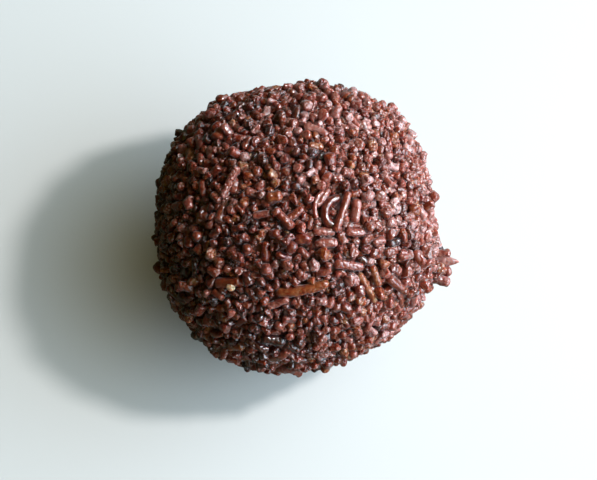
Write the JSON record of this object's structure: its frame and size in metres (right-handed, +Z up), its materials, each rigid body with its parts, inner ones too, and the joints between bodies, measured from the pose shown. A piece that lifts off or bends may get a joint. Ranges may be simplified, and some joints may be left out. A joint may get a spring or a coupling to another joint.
{
  "type": "chocolate truffle",
  "caption": "Hand-rolled chocolate truffle, a slightly squarish ball coated all over with short chocolate strands, resting on a small flat spot.",
  "frame": {"origin": "middle of the bottom of the truffle's box, on the flat spot it rests on", "axes": "+Z up, +X towards the side where the knot of stuck strands stands out, +Y towards the side away from the viewer"},
  "size_m": [0.0354, 0.034, 0.031],
  "materials": {
    "chocolate_coat": "satin dark chocolate strands with small sharp highlights"
  },
  "bodies": {
    "root": {"truffle": "chocolate_coat"}
  },
  "joints": []
}
